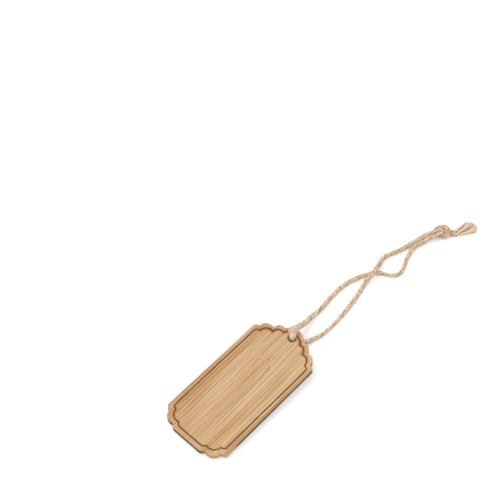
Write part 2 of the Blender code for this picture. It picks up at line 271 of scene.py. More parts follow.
# Diameter of the twine at distances from the hole, along the upper and the lower leg
UPPER_GIRTH = (
    (0.000, 0.0037),
    (0.0003, 0.0037),
    (0.0011, 0.0031),
    (0.0028, 0.0031),
    (0.0042, 0.0032),
    (0.009, 0.0030),
    (0.016, 0.0025),
    (0.024, 0.0021),
    (0.034, 0.0021),
    (0.060, 0.0020),
    (0.068, 0.0017),
    (0.084, 0.0018),
    (0.092, 0.0023),
    (0.100, 0.0022),
    (0.107, 0.0018),
    (0.126, 0.00175),
)
LOWER_GIRTH = (
    (0.000, 0.0037),
    (0.0008, 0.0035),
    (0.005, 0.0024),
    (0.010, 0.0023),
    (0.014, 0.0019),
    (0.021, 0.0016),
    (0.027, 0.0016),
    (0.034, 0.0019),
    (0.047, 0.0020),
    (0.058, 0.0022),
    (0.076, 0.0020),
    (0.090, 0.0023),
    (0.099, 0.0022),
    (0.106, 0.0018),
    (0.126, 0.00175),
)

# Where a ply stands out to the side as the twine bends over the board's edge, and the painted shade
# on the twine inside the hole
LOOSE_PLY_PLACE = 0.0046
LOOSE_PLY_RUN = 0.0018
LOOSE_PLY_SWELL = 0.85
LOOSE_PLY_LIFT = 2
HOLE_SHADE = 1.5
HOLE_SHADE_RUN = 0.0012

# Overhand knot of both strands, lying flat: its middle from the hole's centre, and its heading
KNOT_PLACE = (0.0960, -0.0115)
KNOT_HEADING = math.radians(-30)

# Half the spacing of the two strands where they enter and leave the knot, and in its turns
MOUTH_HALF = (TWINE_DIAMETER + GAP) / 2
TURN_HALF = 0.00065
CLOSING_HALF = (MOUTH_HALF + TURN_HALF) / 2

# The pair's way through the knot: along, across and height in the knot's frame,
# half the strands' spacing, and how many degrees their pair is turned up on edge
KNOT_ROUTE = (
    (-0.0074, -0.0003, 0.00150, MOUTH_HALF, 0),
    (-0.0054, -0.0003, 0.00200, MOUTH_HALF, 0),
    (-0.0038, -0.0004, 0.00280, MOUTH_HALF, 0),
    (-0.0022, -0.0004, 0.00340, CLOSING_HALF, 5),
    (-0.0006, -0.0005, 0.00320, CLOSING_HALF, 15),
    (0.0009, -0.0008, 0.00230, TURN_HALF, 30),
    (0.0022, -0.0010, 0.00170, TURN_HALF, 35),
    (0.0031, -0.0006, 0.00200, TURN_HALF, 40),
    (0.0033, 0.0003, 0.00270, TURN_HALF, 45),
    (0.0027, 0.0012, 0.00325, TURN_HALF, 50),
    (0.0015, 0.0020, 0.00340, TURN_HALF, 50),
    (0.0002, 0.0024, 0.00310, TURN_HALF, 45),
    (-0.0010, 0.0023, 0.00255, TURN_HALF, 40),
    (-0.0017, 0.0014, 0.00180, TURN_HALF, 30),
    (-0.0016, 0.0000, 0.00130, TURN_HALF, 15),
    (-0.0007, -0.0012, 0.00125, TURN_HALF, 20),
    (0.0005, -0.0019, 0.00145, TURN_HALF, 30),
    (0.0017, -0.0020, 0.00210, TURN_HALF, 40),
    (0.0025, -0.0015, 0.00310, TURN_HALF, 45),
    (0.0026, -0.0006, 0.00335, TURN_HALF, 40),
    (0.0029, 0.0000, 0.00240, TURN_HALF, 45),
    (0.0037, -0.0007, 0.00150, TURN_HALF, 50),
    (0.0048, -0.0016, 0.00135, TURN_HALF, 40),
    (0.0062, -0.0019, 0.00130, TURN_HALF, 30),
    (0.0076, -0.0018, 0.00125, CLOSING_HALF, 15),
    (0.0090, -0.0014, 0.00115, MOUTH_HALF, 0),
)

# A dark ball of painted shade for the strands' middle inside the knot: half its sizes and its place
# in the knot's frame
KNOT_SHADE_CORE = (0.0021, 0.0021, 0.0011)
KNOT_CORE_PLACE = (0.0003, -0.0001, 0.0022)
KNOT_CORE_CAP = 0.02
KNOT_CORE_RINGS = 12
KNOT_CORE_SIDES = 24

# The two tails past the knot, in the knot's frame
UPPER_TAIL = (
    (0.0114, 0.0006, LYING),
    (0.0140, 0.0013, LYING),
    (0.0168, 0.0019, LYING),
)
LOWER_TAIL = (
    (0.0114, -0.0027, LYING),
    (0.0140, -0.0026, LYING),
    (0.0170, -0.0020, LYING),
)

# Route points of the twine: along and across the table from the hole's centre, and height
UPPER_LEG = (
    (0.0858, -0.0085, 0.00120),
    (0.0830, -0.0076, LYING),
    (0.0806, -0.0071, LYING),
    (0.0770, -0.0077, LYING),
    (0.0722, -0.0090, LYING),
    (0.0687, -0.0105, LYING),
    (0.0662, -0.0113, LYING),
    (0.0642, -0.0116, LYING),
    (0.0622, -0.0110, LYING),
    (0.0605, -0.0098, LYING),
    (0.0592, -0.0078, LYING),
    (0.0582, -0.0060, LYING),
    (0.0570, -0.0040, LYING),
    (0.0548, -0.0019, LYING),
    (0.0512, -0.0001, LYING),
    (0.0477, 0.0013, LYING),
    (0.0437, 0.0025, LYING),
    (0.0387, 0.0032, LYING),
    (0.0337, 0.0032, LYING),
    (0.0287, 0.0029, LYING),
    (0.0247, 0.0024, LYING),
    (0.0212, 0.0022, LYING),
    (0.0180, 0.0024, 0.00125),
    (0.0140, 0.0022, 0.00220),
    (0.0103, 0.0017, 0.00360),
)
BIGHT = (
    (0.0080, 0.00170, 0.00475),
    (0.0062, 0.00155, 0.00575),
    (0.0044, 0.00135, 0.00640),
    (0.0026, 0.00095, 0.00655),
    (0.0011, 0.00040, 0.00605),
    (0.00035, 0.00010, 0.00490),
    (0.00010, -0.00010, 0.00360),
    (0.00033, -0.00033, 0.00250),
    (0.00072, -0.00072, 0.00148),
    (0.0014, -0.0014, 0.00108),
    (0.0026, -0.0028, LYING),
    (0.0039, -0.0041, LYING),
    (0.0053, -0.0049, LYING),
    (0.0074, -0.0056, LYING),
)
HOLE_POINT = 6
LOWER_LEG = (
    (0.0104, -0.0065, LYING),
    (0.0135, -0.0072, LYING),
    (0.0165, -0.0074, LYING),
    (0.0207, -0.0074, LYING),
    (0.0247, -0.0072, LYING),
    (0.0287, -0.0068, LYING),
    (0.0337, -0.0062, LYING),
    (0.0387, -0.0054, LYING),
    (0.0437, -0.0044, LYING),
    (0.0477, -0.0034, 0.00115),
    (0.0517, -0.0031, 0.00235),
    (0.0559, -0.0031, CROSSING),
    (0.0598, -0.0019, 0.00235),
    (0.0638, -0.0006, 0.00115),
    (0.0668, -0.0005, LYING),
    (0.0697, -0.0015, LYING),
    (0.0727, -0.0027, LYING),
    (0.0762, -0.0037, LYING),
    (0.0790, -0.0044, 0.00120),
    (0.0822, -0.0051, 0.00125),
    (0.0860, -0.0060, 0.00130),
)

# Frayed tails and loose fibres. A taper gives the thickness at the root and its loss at the tip
FIBRE_SIDES = 5
LAY_SPREAD = 9
TAIL_LENGTH = 0.0115
TAIL_TIP = 0.0185
TAIL_ROUNDING = 160.0
TAIL_MIDDLE = -0.0006
TAIL_CORE_RUN = 0.0100
TAIL_CORE_END = 0.40
TAIL_BUNDLES = 3
TAIL_BUNDLE_NOTCH = 0.35
TAIL_TURN = math.radians(-25)
TAIL_FIBRES = 250
TAIL_FIBRE_RADIUS = 0.000095
TAIL_TAPER = (1.15, 0.6)
TAIL_REACH = 1.15
TAIL_TRIMS = 4
TAIL_TWIST = math.radians(110)
TAIL_HALF_WIDTH = (0.00060, 0.00225)
TAIL_HALF_HEIGHT = (0.00070, 0.00110)
TAIL_OPENING = 0.95
# Fibres at the edges of a tail's bundles carry painted shade, the dark lines between the bundles,
# fading to pale towards the tip
TAIL_GAP_START = 0.70
TAIL_GAP_SHADE = 1.0
TAIL_GAP_RUN = (0.62, 0.95)
# Loose fibres painted paler, partly their own paler tone and partly painted light against the shade
# among them, and paler still at their tips as painted light
TAIL_PALENESS = 0.9
TAIL_TIP_PALENESS = 1.8
TAIL_TIP_RUN = (0.55, 1.0)
TAIL_CURL = 0.00010
TAIL_WAVER = (3, 8)
TAIL_CLOSENESS = 0.16
TAIL_STEPS = 14
STRAY_FIBRES = 420
STRAY_START = 45
STRAY_END = 3
STRAY_RADIUS = 0.000022
STRAY_TAPER = (1.2, 0.7)
STRAY_LENGTH = (0.0012, 0.0040)
STRAY_ROOT = 0.9
STRAY_RISE = (0.1, 0.6)
STRAY_SCATTER = 0.3
STRAY_BEND = 0.5
STRAY_CURL = 0.5
STRAY_STEPS = 5
SEED = 7


def make_camera():
    """Stand the camera where the photograph was taken from."""
    lens = bpy.data.cameras.new("camera")
    lens.lens = CAMERA_LENS
    lens.sensor_width = CAMERA_SENSOR
    camera = bpy.data.objects.new("camera", lens)
    bpy.context.scene.collection.objects.link(camera)
    heading = Matrix.Rotation(CAMERA_HEADING, 4, "Z")
    pitch = Matrix.Rotation(CAMERA_PITCH, 4, "X")
    roll = Matrix.Rotation(CAMERA_ROLL, 4, "Z")
    camera.matrix_world = Matrix.Translation(CAMERA_PLACE) @ heading @ pitch @ roll
    bpy.context.scene.camera = camera


def add_node(tree, kind, inputs=None, **settings):
    """Add a node, set its options, and give each named or numbered input a value or a link."""
    node = tree.nodes.new(kind)
    for name, value in settings.items():
        setattr(node, name, value)
    for name, value in (inputs or {}).items():
        connect(tree, node.inputs[name], value)
    return node


def connect(tree, socket, value):
    """Link a socket to an output, or set it to a plain value."""
    if isinstance(value, bpy.types.NodeSocket):
        tree.links.new(value, socket)
    else:
        socket.default_value = value


def maths(tree, operation, first, second=0.0):
    """The output of a Math node."""
    inputs = {0: first, 1: second}
    return add_node(tree, "ShaderNodeMath", inputs, operation=operation).outputs[0]


def span(tree, value, low, high, start=0.0, end=1.0):
    """A value's way from low to high, smoothed, as a number from start to end."""
    inputs = {"Value": value, "From Min": low, "From Max": high, "To Min": start, "To Max": end}
    return add_node(tree, "ShaderNodeMapRange", inputs, interpolation_type="SMOOTHSTEP").outputs[0]


def mix(tree, share, first, second, blend="MIX"):
    """The colour output of a Mix node."""
    inputs = {0: share, 6: first, 7: second}
    settings = {"data_type": "RGBA", "blend_type": blend}
    return add_node(tree, "ShaderNodeMix", inputs, **settings).outputs[2]


def noise_of(tree, vector, stretch, detail, roughness):
    """A noise from 0 to 1 over a vector that is stretched first."""
    inputs = {0: vector, 1: stretch}
    stretched = add_node(tree, "ShaderNodeVectorMath", inputs, operation="MULTIPLY").outputs[0]
    inputs = {"Vector": stretched, "Scale": 1.0, "Detail": detail, "Roughness": roughness}
    return add_node(tree, "ShaderNodeTexNoise", inputs).outputs[0]


def swing_of(tree, vector, grain):
    """A noise about zero over a vector."""
    return maths(tree, "SUBTRACT", noise_of(tree, vector, *grain), NOISE_MIDDLE)


def flecks_of(tree, vector, grain, shown):
    """The share of a tint that shows where a noise over a vector is high."""
    return span(tree, noise_of(tree, vector, *grain), *shown)


def distance_from(tree, place, point):
    """The distance of a place from a point."""
    inputs = {0: place, 1: point}
    return add_node(tree, "ShaderNodeVectorMath", inputs, operation="DISTANCE").outputs["Value"]


def add_relief(tree, shader, height, strength, distance):
    """Let a height stand out of a shader's surface."""
    inputs = {"Height": height, "Strength": strength, "Distance": distance}
    bump = add_node(tree, "ShaderNodeBump", inputs)
    tree.links.new(bump.outputs[0], shader.inputs["Normal"])


def attribute(tree, name):
    """The node of a mesh attribute."""
    return add_node(tree, "ShaderNodeAttribute", attribute_name=name)


def new_material(name):
    """A material with one shader, and its tree and shader."""
    material = bpy.data.materials.new(name)
    material.use_nodes = True
    return material, material.node_tree, material.node_tree.nodes["Principled BSDF"]


def colour(red, green, blue):
    """A colour with its alpha."""
    return (red, green, blue, 1.0)


def new_piece(name, points, faces, material, **attributes):
    """A smooth mesh object with a number or a vector for each point under each attribute's name."""
    mesh = bpy.data.meshes.new(name)
    mesh.from_pydata([tuple(p) for p in points], [], [tuple(f) for f in faces])
    mesh.shade_smooth()
    for key, values in attributes.items():
        values = np.asarray(values, dtype=np.float32)
        is_vector = values.ndim == 2
        layer = mesh.attributes.new(key, "FLOAT_VECTOR" if is_vector else "FLOAT", "POINT")
        layer.data.foreach_set("vector" if is_vector else "value", values.ravel())
    mesh.materials.append(material)
    piece = bpy.data.objects.new(name, mesh)
    bpy.context.scene.collection.objects.link(piece)
    return piece


class Solid:
    """Points, faces and texture values of a mesh that grows tube by tube."""

    def __init__(self):
        self.points = []
        self.faces = []
        self.lay = []
        self.crease = []

    def add_rings(self, rings, lay, crease):
        """Add a closed tube of rings of points, with a flat fan at both ends."""
        base = len(self.points)
        count, sides, _ = rings.shape
        self.points.extend(rings.reshape(-1, 3))
        self.lay.extend(lay.reshape(-1, 3))
        self.crease.extend(crease.reshape(-1))
        for i in range(count - 1):
            for k in range(sides):
                after = (k + 1) % sides
                near = base + i * sides
                far = near + sides
                self.faces.append((near + k, near + after, far + after, far + k))
        last = base + (count - 1) * sides
        self.faces.append(tuple(base + k for k in reversed(range(sides))))
        self.faces.append(tuple(last + k for k in range(sides)))

    def piece(self, name, material):
        """The mesh object of all that was added."""
        return new_piece(name, self.points, self.faces, material, lay=self.lay, crease=self.crease)


def board_matrix():
    """The board's resting place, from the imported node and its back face."""
    low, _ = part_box("tag_board")
    back = next(m for m in frame["record"]["mounts"] if m["name"] == "back_face")
    tilt = math.asin(back["axis"][0])
    start = Vector(low) + Vector((BOARD_THICKNESS * math.sin(tilt), BOARD_WIDTH / 2, 0))
    return Matrix.Translation(start) @ Matrix.Rotation(-tilt, 4, "Y")


def hole_centre():
    """The middle of the hole, halfway through the board."""
    return board_matrix() @ Vector((BOARD_LENGTH - HOLE_SETBACK, 0, BOARD_THICKNESS / 2))


def route_points(points):
    """Route points moved from the hole's centre to their place on the table."""
    start = hole_centre().x
    return [Vector((start + along, across, height)) for along, across, height in points]


def knot_matrix():
    """The knot's frame on the table: its X from the loop to the tails."""
    along, across = KNOT_PLACE
    place = Matrix.Translation((hole_centre().x + along, across, 0))
    return place @ Matrix.Rotation(KNOT_HEADING, 4, "Z")


def knot_points(points):
    """Points of the knot's frame moved to their place on the table."""
    return [knot_matrix() @ Vector(point) for point in points]


def knot_strand(side):
    """One of the two strands' way through the knot, on one side of the pair's middle."""
    middle = [Vector(row[:3]) for row in KNOT_ROUTE]
    line = []
    for i, (*_, half, degrees) in enumerate(KNOT_ROUTE):
        edge = math.radians(degrees)
        way = middle[min(i + 1, len(middle) - 1)] - middle[max(i - 1, 0)]
        left = Vector((-way.y, way.x, 0)).normalized()
        shift = left * math.cos(edge) + Vector((0, 0, math.sin(edge)))
        line.append(middle[i] + shift * side * half)
    return knot_points(line)


def smooth(points, steps=16):
    """Dense points on a smooth curve through the points."""
    clock = [0.0]
    for a, b in zip(points, points[1:]):
        clock.append(clock[-1] + (b - a).length)
    slopes = []
    for i in range(len(points)):
        low = max(i - 1, 0)
        high = min(i + 1, len(points) - 1)
        slopes.append((points[high] - points[low]) / (clock[high] - clock[low]))
    dense = [points[0]]
    for i in range(len(points) - 1):
        length = clock[i + 1] - clock[i]
        for k in range(1, steps + 1):
            t = k / steps
            rise = t * t * (3 - 2 * t)
            leave = t * (1 - t) ** 2 * length
            arrive = t * t * (t - 1) * length
            blend = points[i] * (1 - rise) + points[i + 1] * rise
            dense.append(blend + slopes[i] * leave + slopes[i + 1] * arrive)
    return np.array(dense)


def run_along(path):
    """Distance along a path at each of its points."""
    return np.concatenate(([0.0], np.cumsum(np.linalg.norm(np.diff(path, axis=0), axis=1))))


def points_at(path, clock, places):
    """Points of a path at distances along it."""
    return np.stack([np.interp(places, clock, path[:, axis]) for axis in range(3)], axis=1)


def spaced(path, spacing):
    """Points an equal distance apart along a path."""
    clock = run_along(path)
    count = max(2, round(clock[-1] / spacing))
    return points_at(path, clock, np.linspace(0, clock[-1], count + 1))


def directions(path):
    """The way that a path runs at each of its points."""
    along = np.gradient(path, axis=0)
    return along / np.linalg.norm(along, axis=1, keepdims=True)


def frames(path):
    """Two directions square to a path at each point, carried along it without turning about it."""
    along = directions(path)
    side = np.cross(along[0], (0.0, 0.0, 1.0))
    sides = [side / np.linalg.norm(side)]
    for direction in along[1:]:
        side = sides[-1] - direction * np.dot(sides[-1], direction)
        sides.append(side / np.linalg.norm(side))
    sides = np.array(sides)
    return sides, np.cross(along, sides)


def rays(path, count):
    """Directions all round a path at each of its points, and their angles."""
    side, up = frames(path)
    angle = np.linspace(0, 2 * math.pi, count, endpoint=False)[None, :, None]
    return side[:, None, :] * np.cos(angle) + up[:, None, :] * np.sin(angle), angle[:, :, 0]


def twine_line():
    """The whole twine's centre line, from one tail through the knot and the hole to the other."""
    upper = knot_points(reversed(LOWER_TAIL)) + list(reversed(knot_strand(-1)))
    upper += route_points(UPPER_LEG + BIGHT[:HOLE_POINT + 1])
    lower = route_points(BIGHT[HOLE_POINT + 1:] + LOWER_LEG) + knot_strand(1)
    lower += knot_points(UPPER_TAIL)
    path = smooth(upper + lower)
    return spaced(path, TWINE_RING_SPACING), np.array(upper[-1])


def twine_radius(distance, girth):
    """The twine's radius at distances from the hole."""
    places, widths = zip(*girth)
    return np.interp(distance, places, widths) / 2


def settled(path, radius):
    """The centre line with its lying stretches let down on the table."""
    lowest = radius * TWINE_FLATNESS + TABLE_CLEARANCE
    lies = np.clip((CLEAR_HEIGHT * LYING - path[:, 2]) / (CLEAR_RISE * LYING), 0, 1)
    height = np.maximum(path[:, 2] - (LYING - lowest) * lies, lowest)
    return np.column_stack((path[:, :2], height))


def waves(chance, around, run, count, turns, paces):
    """The sum of a few waves over the twine, with turns round it, pace and start by chance."""
    total = 0
    for _ in range(count):
        turn = chance.randint(*turns)
        pace = chance.uniform(*paces)
        start = chance.uniform(0, 2 * math.pi)
        total = total + np.sin(turn * around + pace * run + start)
    return total


def loose_ply(out, from_hole):
    """How much further the twine reaches where one ply stands off at the board's edge."""
    near_edge = np.exp(-((from_hole + LOOSE_PLY_PLACE) / LOOSE_PLY_RUN) ** 2)[:, None]
    upward = np.clip(1 + LOOSE_PLY_LIFT * out[:, :, 2], 0, 1)
    return 1 + LOOSE_PLY_SWELL * near_edge * np.maximum(out[:, :, 1], 0) * upward


def twine_surface(path, clock, radius, from_hole):
    """Rings of points on the two-ply twine, with texture coordinates and painted shade: in the
    creases, lighter on the fibres' ridges and darker in their dips, and on the twine in the hole.
    """
    chance = random.Random(SEED)
    out, angle = rays(path, TWINE_SIDES)
    run = clock[:, None] / MM
    drift = TWIST_DRIFT * waves(chance, angle, run, *TWIST_WAVES)
    around = angle + 2 * math.pi * (run + drift) * MM / TWINE_PITCH
    away = np.abs(np.abs((around + math.pi) % (2 * math.pi) - math.pi) - math.pi / 2)
    patch = waves(chance, angle, run, *CREASE_WAVES)
    strength = np.clip(CREASE_STRENGTH + CREASE_CHANGE * patch, CREASE_LEAST, 1.0)
    crease = np.exp(-(away / CREASE_WIDTH) ** 2) * strength
    # Painted shade in the creases between the plies
    shade = np.exp(-(away / CREASE_SHADE_WIDTH) ** 2) * strength
    ridges = waves(chance, around, run, *RIDGE_WAVES)
    reach = radius[:, None] * (1 - CREASE_DEPTH * crease + RIDGE_DEPTH * ridges)
    reach *= loose_ply(out, from_hole)
    out[:, :, 2] *= TWINE_FLATNESS
    rings = path[:, None, :] + out * reach[:, :, None]
    rings[:, :, 2] = np.maximum(rings[:, :, 2], STRAY_RADIUS)
    spread = radius[:, None] / MM
    lay = (np.cos(around) * spread, np.sin(around) * spread, run)
    lay = np.stack(np.broadcast_arrays(*lay), axis=-1)
    # Painted shade on the twine inside the hole, darkest at the hole's middle
    painted_hole_shade = np.clip(HOLE_SHADE - np.abs(from_hole) / HOLE_SHADE_RUN, 0, 1)[:, None]
    # The painted shade, lighter on the fibres' ridges and darker in their dips
    return rings, lay, np.clip(np.maximum(shade - RIDGE_SHADE * ridges, painted_hole_shade), 0, 1)


def make_twine(material):
    """Both halves of the twine, which meet in the hole: piece, loose fibres and path of each."""
    path, hole = twine_line()
    clock = run_along(path)
    middle = int(np.argmin(np.linalg.norm(path - hole, axis=1)))
    distance = clock - clock[middle]
    upper = twine_radius(-distance, UPPER_GIRTH)
    lower = twine_radius(distance, LOWER_GIRTH)
    radius = np.where(distance < 0, upper, lower)
    path = settled(path, radius)
    to_end = np.minimum(clock, clock[-1] - clock)
    taper = np.clip(to_end / TAIL_CORE_RUN, TAIL_CORE_END, 1)
    rings, lay, crease = twine_surface(path, clock, radius * taper, distance)
    halves = (("twine_upper", slice(middle, None, -1)), ("twine_lower", slice(middle, None)))
    cords = []
    for number, (name, part) in enumerate(halves):
        chance = random.Random(SEED + number)
        solid = Solid()
        solid.add_rings(rings[part], lay[part], crease[part])
        if number == 0:
            add_knot_shade_core(solid)
        piece = solid.piece(name, material)
        fuzz = Solid()
        fray(fuzz, path[part], chance)
        add_strays(fuzz, path[part], radius[part], chance)
        cords.append((piece, fuzz.piece(name + "_fuzz", material), path[part]))
    return cords


def add_knot_shade_core(solid):
    """Add a dark ball of painted shade in the knot's middle, seen between its turns."""
    climb = np.linspace(KNOT_CORE_CAP, math.pi - KNOT_CORE_CAP, KNOT_CORE_RINGS)[:, None]
    turn = np.linspace(0, 2 * math.pi, KNOT_CORE_SIDES, endpoint=False)[None, :]
    ball = (np.sin(climb) * np.cos(turn), np.sin(climb) * np.sin(turn), -np.cos(climb) + 0 * turn)
    rings = np.stack(ball, axis=-1) * KNOT_SHADE_CORE + KNOT_CORE_PLACE
    place = np.array(knot_matrix())
    rings = rings @ place[:3, :3].T + place[:3, 3]
    # Full painted shade all over the ball
    solid.add_rings(rings, rings / MM, np.ones(rings.shape[:2]))


def add_fibre(solid, line, radii, place, crease=0.0):
    """Add one thin fibre along a line of points."""
    out, _ = rays(line, FIBRE_SIDES)
    rings = line[:, None, :] + out * np.asarray(radii)[:, None, None]
    lay = np.zeros_like(rings)
    lay[:, :, :2] = place
    lay[:, :, 2] = run_along(line)[:, None] / MM
    shade = np.broadcast_to(np.reshape(crease, (-1, 1)), rings.shape[:2])
    solid.add_rings(rings, lay, shade)


def scatter(chance, reach, count):
    """A few numbers by chance, up to a reach either way."""
    return np.array([chance.uniform(-reach, reach) for _ in range(count)])


def between(ends, share):
    """Numbers at shares of the way from one end to the other."""
    low, high = ends
    return low + (high - low) * share


def tail_fibre(path, part, turn, away, waver, to_knot):
    """A fibre's line at parts of the tail's length, and its end in the knot's frame."""
    clock = run_along(path)
    places = clock[-1] + (part - 1) * TAIL_LENGTH
    middle = points_at(path, clock, places)
    middle += directions(path)[-1] * np.maximum(places - clock[-1], 0)[:, None]
    side, _ = frames(middle)
    wide = between(TAIL_HALF_WIDTH, part ** TAIL_OPENING)
    tall = between(TAIL_HALF_HEIGHT, part ** TAIL_OPENING)
    twist = turn + TAIL_TWIST * part
    across = away * wide * np.cos(twist) + TAIL_CURL * np.sin(part * waver + turn)
    line = middle + side * across[:, None]
    line[:, 2] = np.maximum(line[:, 2] + away * tall * np.sin(twist), TAIL_FIBRE_RADIUS)
    local = line @ to_knot[:3, :3].T + to_knot[:3, 3]
    local[:, 1] -= TAIL_CLOSENESS * np.sin(math.pi * part) * (local[:, 1] - TAIL_MIDDLE)
    return (local - to_knot[:3, 3]) @ to_knot[:3, :3], local[-1]


def fray(solid, path, chance):
    """Add a tail's loosened fibres: twisted bundles that open into a brush with a round tip."""
    to_knot = np.array(knot_matrix().inverted())
    share = np.linspace(0, 1, TAIL_STEPS)
    root, loss = TAIL_TAPER
    radii = TAIL_FIBRE_RADIUS * (root - loss * share ** 3)
    for number in range(TAIL_FIBRES):
        bundle = number % TAIL_BUNDLES
        within = chance.uniform(-1, 1)
        turn = TAIL_TURN + 2 * math.pi * (bundle + within / 2) / TAIL_BUNDLES
        away = math.sqrt(chance.random()) * (1 - TAIL_BUNDLE_NOTCH * abs(within) ** 3)
        waver = chance.uniform(*TAIL_WAVER)
        reach = TAIL_REACH
        for _ in range(TAIL_TRIMS):
            line, end = tail_fibre(path, share * reach, turn, away, waver, to_knot)
            past = end[0] - TAIL_TIP + TAIL_ROUNDING * (end[1] - TAIL_MIDDLE) ** 2
            reach -= max(0.0, past) / TAIL_LENGTH
        line[-1] += (line[-2] - line[-1]) * chance.random()
        # Paler along the fibre and palest at its tip: partly the loose fibres' own tone, partly
        # painted light
        crease = np.interp(share, TAIL_TIP_RUN, (-TAIL_PALENESS, -TAIL_TIP_PALENESS))
        # A fibre at a bundle's edge carries painted shade between the bundles, fading to pale
        # towards the tip
        if abs(within) > TAIL_GAP_START:
            crease = np.interp(share, TAIL_GAP_RUN, (TAIL_GAP_SHADE, -TAIL_PALENESS))
        add_fibre(solid, line, radii, scatter(chance, LAY_SPREAD, 2), crease)


def add_strays(solid, path, radius, chance):
    """Add loose fibres that stand off the twine's surface."""
    along = directions(path)
    side, up = frames(path)
    share = np.linspace(0, 1, STRAY_STEPS)[:, None]
    root, loss = STRAY_TAPER
    radii = STRAY_RADIUS * (root - loss * share[:, 0])
    for _ in range(STRAY_FIBRES):
        i = chance.randrange(STRAY_START, len(path) - STRAY_END)
        turn = chance.uniform(0, 2 * math.pi)
        out = side[i] * math.cos(turn) + up[i] * math.sin(turn)
        way = along[i] * chance.choice((-1, 1)) + out * chance.uniform(*STRAY_RISE)
        way += scatter(chance, STRAY_SCATTER, 3)
        way /= np.linalg.norm(way)
        bend = scatter(chance, STRAY_BEND, 3)
        length = chance.uniform(*STRAY_LENGTH)
        start = path[i] + out * radius[i] * STRAY_ROOT
        line = start + (way * share + bend * share ** 2 * STRAY_CURL) * length
        line[:, 2] = np.maximum(line[:, 2], STRAY_RADIUS)
        add_fibre(solid, line, radii, scatter(chance, LAY_SPREAD, 2))


def jute_material():
    """Two-ply jute: pale fibres, with painted shade in the creases between the plies and wherever
    else the crease value is high, and loose fibres painted paler where it is below zero.
    """
    material, tree, shader = new_material("jute")
    lay = attribute(tree, "lay").outputs["Vector"]
    crease = attribute(tree, "crease").outputs["Fac"]
    fibres = noise_of(tree, lay, *JUTE_FIBRES)
    tone = span(tree, fibres, *JUTE_FIBRES_SHOWN)
    base = mix(tree, tone, colour(*JUTE_DARK), colour(*JUTE_PALE))
    tints = (
        (flecks_of(tree, lay, JUTE_PATCHES, JUTE_PATCHES_SHOWN), JUTE_GREY),
        # dark dashes, partly brown fibres and partly painted shade in the gaps between them
        (flecks_of(tree, lay, JUTE_DASHES, JUTE_DASHES_SHOWN), JUTE_BROWN),
        # loose fibres painted paler, and painted light at their tips
        (span(tree, crease, *PALE_SHOWN), JUTE_PALE),
        (span(tree, crease, *TIP_SHOWN), JUTE_TIP),
        # painted shade where the crease value is high
        (span(tree, crease, *PAINTED_SHADE_SHOWN), JUTE_PAINTED_SHADE),
    )
    for share, tint in tints:
        base = mix(tree, share, base, colour(*tint))
    tree.links.new(base, shader.inputs["Base Color"])
    shader.inputs["Roughness"].default_value = JUTE_ROUGHNESS
    add_relief(tree, shader, fibres, *JUTE_RELIEF)
    return material


def arc(start, end, sweep):
    """Points after start to end on an arc that bulges to the right of the way it runs."""
    chord = end - start
    radius = chord.length / (2 * math.sin(sweep / 2))
    left = Vector((-chord.y, chord.x)).normalized()
    centre = (start + end) / 2 + left * radius * math.cos(sweep / 2)
    first = start - centre
    steps = math.ceil(sweep / ARC_STEP)
    turns = (Matrix.Rotation(sweep * i / steps, 2) for i in range(1, steps + 1))
    return [centre + turn @ first for turn in turns]


def board_outline():
    """The board's outline, counter-clockwise, with its far end at x = 0."""
    shoulder = BOARD_WIDTH / 2 - sum(drop for _, drop, _ in HOLE_END_SCALLOPS)
    cusp = Vector((BOARD_LENGTH - CROWN_RISE, shoulder))
    points = [Vector((cusp.x, -cusp.y))]
    points += arc(points[0], cusp, 4 * math.atan(CROWN_RISE / shoulder))
    for run, drop, sweep in reversed(HOLE_END_SCALLOPS):
        points += arc(points[-1], points[-1] + Vector((-run, drop)), sweep)
    corner = Vector((sum(run for run, _, _ in FAR_END_SCALLOPS), BOARD_WIDTH / 2))
    points.append(corner)
    for run, drop, sweep in FAR_END_SCALLOPS:
        points += arc(points[-1], points[-1] + Vector((-run, -drop)), sweep)
    upper = [p for p in points if p.y > 0 and p.x < cusp.x]
    return points + [Vector((p.x, -p.y)) for p in reversed(upper)]


def burnt_outline(outline):
    """The middle of the burnt line: the outline drawn in towards the board's centre."""
    along = 1 - 2 * LINE_END_INSET / BOARD_LENGTH
    across = 1 - 2 * LINE_SIDE_INSET / BOARD_WIDTH
    middle = BOARD_LENGTH / 2
    return [Vector((middle + (p.x - middle) * along, p.y * across)) for p in outline]


def offset(points, distance):
    """A closed outline moved outwards by a distance, with mitred corners."""
    moved = []
    for i, point in enumerate(points):
        before = (point - points[i - 1]).normalized()
        after = (points[(i + 1) % len(points)] - point).normalized()
        normal = Vector((before.y + after.y, -before.x - after.x)).normalized()
        mitre = Vector((after.y, -after.x)).dot(normal)
        moved.append(point + normal * distance / mitre)
    return moved


def divided(loop, spacing):
    """A closed outline with points added on its long sides."""
    points = []
    for i, start in enumerate(loop):
        end = loop[(i + 1) % len(loop)]
        count = max(1, math.ceil((end - start).length / spacing))
        points += [start.lerp(end, k / count) for k in range(count)]
    return points


def circle(radius):
    """The points of a circle about the hole's centre."""
    turns = (2 * math.pi * i / HOLE_SIDES for i in range(HOLE_SIDES))
    middle = BOARD_LENGTH - HOLE_SETBACK
    return [Vector((middle + radius * math.cos(a), radius * math.sin(a))) for a in turns]


def distance_to(points, loop):
    """Distance from each point in plan to a closed outline."""
    start = np.array([tuple(p) for p in loop])
    edge = np.roll(start, -1, axis=0) - start
    nearest = np.full(len(points), np.inf)
    for origin, run in zip(start, edge):
        away = points - origin
        share = np.clip(away @ run / (run @ run), 0, 1)
        nearest = np.minimum(nearest, np.linalg.norm(away - share[:, None] * run, axis=1))
    return nearest


